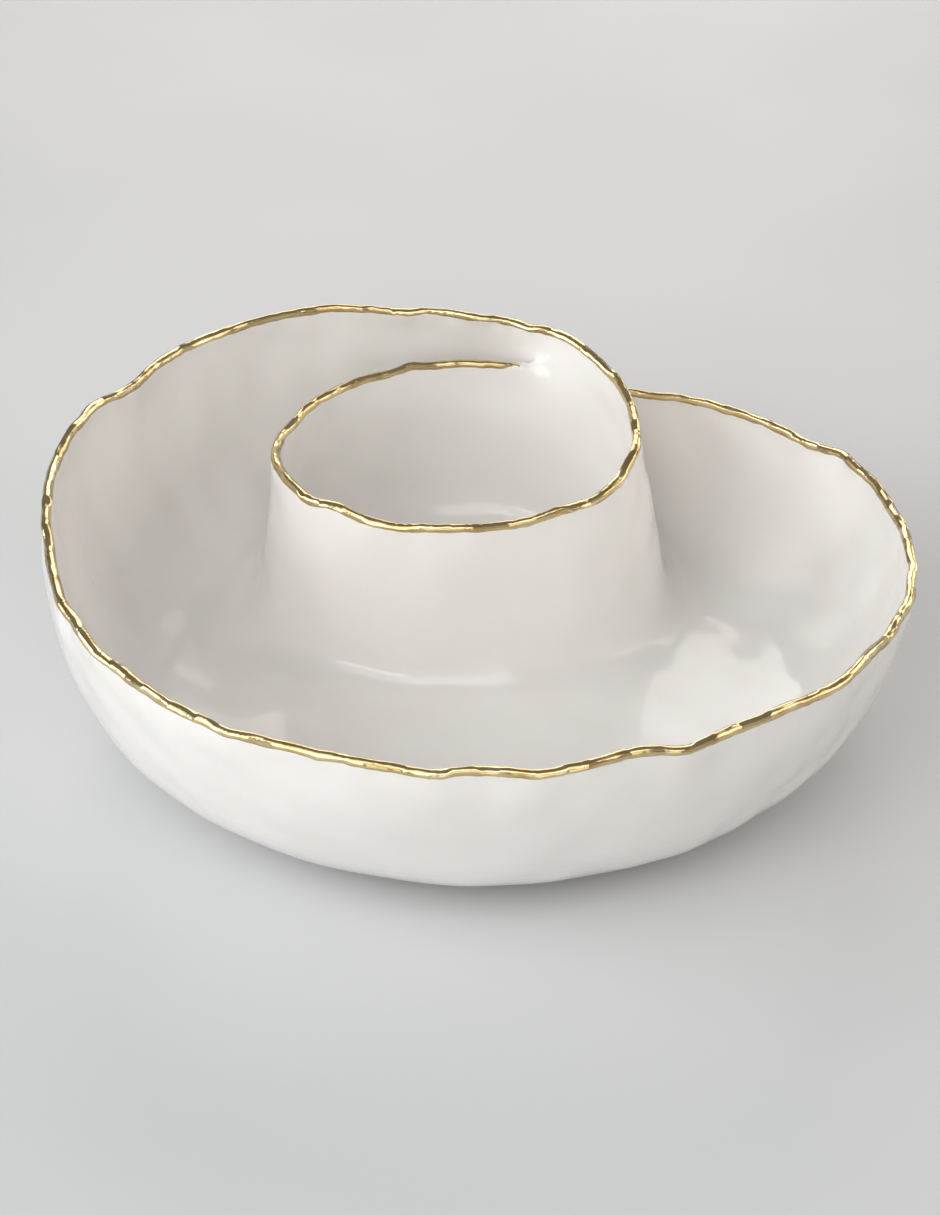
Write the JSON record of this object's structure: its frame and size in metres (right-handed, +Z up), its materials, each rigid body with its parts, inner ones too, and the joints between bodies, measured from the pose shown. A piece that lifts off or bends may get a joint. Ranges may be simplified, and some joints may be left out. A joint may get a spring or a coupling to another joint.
{
  "type": "chip and dip server",
  "caption": "Round porcelain serving bowl whose hand-formed wall spirals inward to make a raised dip cup, with a gold lustre rim.",
  "frame": {"origin": "on the resting plane, under the middle of the whole server", "axes": "+Z up out of the bowl; -Y the front, where the dip cup's low rim looks over the wide trough; +X to the right of someone facing the front"},
  "size_m": [0.3262, 0.322, 0.1003],
  "materials": {
    "porcelain": "gloss",
    "bisque": "matte",
    "gold_lustre": "polished"
  },
  "bodies": {
    "root": {"base_dish": "porcelain", "foot_ring": "bisque", "outer_wall": "porcelain", "curl_wall": "porcelain", "cup_wall": "porcelain", "gold_rim_band": "gold_lustre"}
  },
  "joints": []
}
